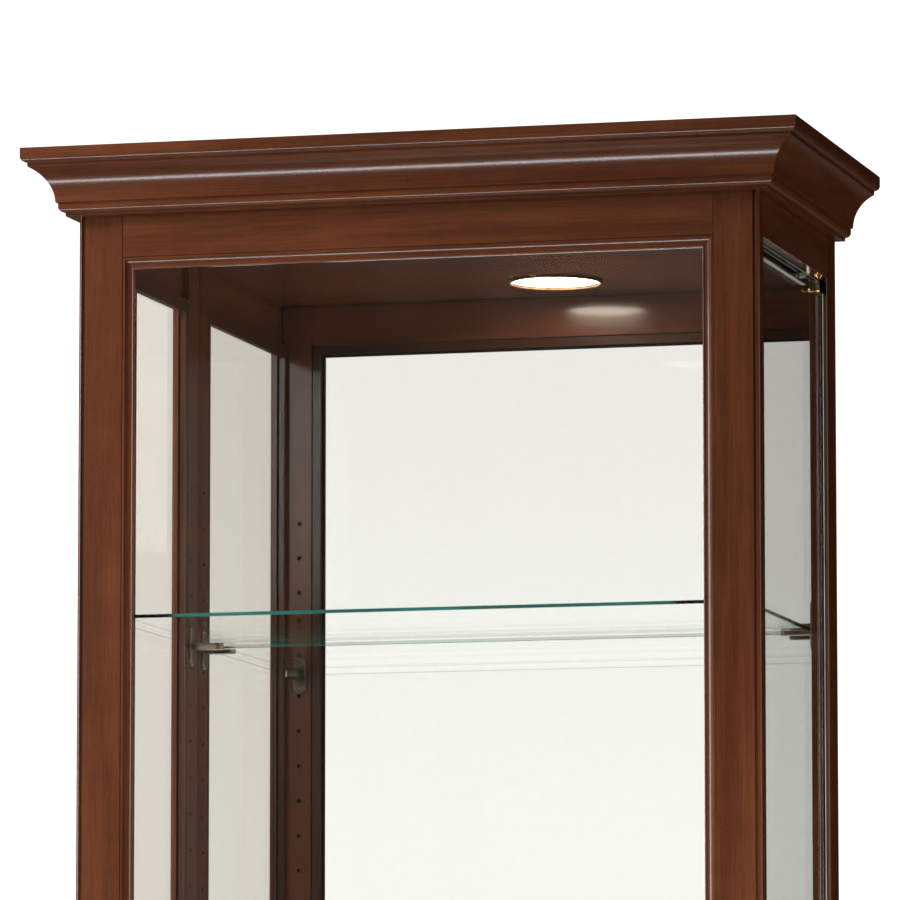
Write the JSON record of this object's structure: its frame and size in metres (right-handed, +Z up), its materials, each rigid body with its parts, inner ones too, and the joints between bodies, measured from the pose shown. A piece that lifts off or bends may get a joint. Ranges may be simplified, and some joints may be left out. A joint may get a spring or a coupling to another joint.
{
  "type": "curio cabinet",
  "caption": "Tall lighted display cabinet: moulded crown and plinth, fixed glass front, mirror back, glass shelves on clips, and a frameless pivoting glass door on the right side.",
  "frame": {"origin": "middle of the overall bounding box in X and Y, at floor level", "axes": "+X to the viewer's right, +Y from the glass front to the mirror back, +Z up"},
  "size_m": [1.068, 0.548, 2.036],
  "materials": {
    "cherry_wood": "satin dark cherry lacquer over fine straight grain",
    "frame_wood": "thin stained coat on hidden frame members",
    "hardboard": "plain brown hardboard",
    "mirror_glass": "polished silvered glass",
    "clear_glass": "clear polished",
    "door_glass": "clear with ground and polished edges",
    "shelf_glass": "clear with green ground edges",
    "dark_bronze": "dark bronze, semi-gloss",
    "polished_brass": "polished and lacquered",
    "lamp_trim": "antique brass",
    "lamp_lens": "frosted and lit from behind",
    "lamp_metal": "pressed, bright inside",
    "lamp_ceramic": "glazed",
    "lamp_bulb_glass": "frosted",
    "black_plastic": "matte",
    "brown_plastic": "matte",
    "clear_rubber": "clear soft bumper",
    "zinc_steel": "zinc plated",
    "foot_plastic": "moulded nylon on a steel stud"
  },
  "bodies": {
    "cabinet": {"front_stile_left": "cherry_wood", "front_stile_right": "cherry_wood", "rear_post_left": "cherry_wood", "rear_post_right": "cherry_wood", "front_top_rail": "cherry_wood", "front_bottom_rail": "cherry_wood", "side_top_rail_left": "cherry_wood", "side_top_rail_right": "cherry_wood", "side_bottom_rail_left": "cherry_wood", "side_bottom_rail_right": "cherry_wood", "front_glass_moulding": "cherry_wood", "front_glass_retainers": "cherry_wood", "side_glass_strips_left": "cherry_wood", "side_glass_beads_left": "cherry_wood", "door_stop_strips": "cherry_wood", "crown_front": "cherry_wood", "crown_left": "cherry_wood", "crown_right": "cherry_wood", "base_front": "cherry_wood", "base_left": "cherry_wood", "base_right": "cherry_wood", "base_moulding_front": "cherry_wood", "base_moulding_left": "cherry_wood", "base_moulding_right": "cherry_wood", "floor_deck": "cherry_wood", "ceiling_panel": "cherry_wood", "rear_top_rail": "frame_wood", "rear_bottom_rail": "frame_wood", "corner_blocks": "frame_wood", "top_panel": "frame_wood", "back_panel": "hardboard", "mirror_back": "mirror_glass", "front_glass": "clear_glass", "side_glass_left": "clear_glass", "glass_shelf_upper": "shelf_glass", "glass_shelf_middle": "shelf_glass", "glass_shelf_lower": "shelf_glass", "shelf_clips": "dark_bronze", "pivot_bushes": "polished_brass", "lamp_trim_ring": "lamp_trim", "lamp_lens": "lamp_lens", "lamp_housing": "lamp_metal", "lamp_socket": "lamp_ceramic", "lamp_bulb": "lamp_bulb_glass", "cable_grommet": "black_plastic", "latch_body": "brown_plastic", "door_bumpers": "clear_rubber", "back_panel_screws": "zinc_steel", "foot_inserts": "zinc_steel"},
    "door": {"door_glass": "door_glass", "pivot_clamps": "polished_brass", "clamp_screws": "polished_brass", "strike_plate": "polished_brass"},
    "latch_plunger": {"latch_plunger": "brown_plastic"},
    "foot_front_left": {"levelling_foot_front_left": "foot_plastic"},
    "foot_front_right": {"levelling_foot_front_right": "foot_plastic"},
    "foot_rear_left": {"levelling_foot_rear_left": "foot_plastic"},
    "foot_rear_right": {"levelling_foot_rear_right": "foot_plastic"}
  },
  "joints": [
    {"name": "door_swing", "type": "hinge", "parent": "cabinet", "child": "door", "pos_m": [0.4635, 0.198, 1.033], "axis": [0, 0, 1], "range_deg": [0, 100]},
    {"name": "latch_push", "type": "slide", "parent": "cabinet", "child": "latch_plunger", "axis": [1, 0, 0], "range_m": [-0.0035, 0], "stiffness_N_per_m": 1500, "springref_m": 0.002},
    {"name": "foot_front_left_screw", "type": "slide", "parent": "cabinet", "child": "foot_front_left", "axis": [0, 0, -1], "range_m": [0, 0.012]},
    {"name": "foot_front_right_screw", "type": "slide", "parent": "cabinet", "child": "foot_front_right", "axis": [0, 0, -1], "range_m": [0, 0.012]},
    {"name": "foot_rear_left_screw", "type": "slide", "parent": "cabinet", "child": "foot_rear_left", "axis": [0, 0, -1], "range_m": [0, 0.012]},
    {"name": "foot_rear_right_screw", "type": "slide", "parent": "cabinet", "child": "foot_rear_right", "axis": [0, 0, -1], "range_m": [0, 0.012]}
  ]
}
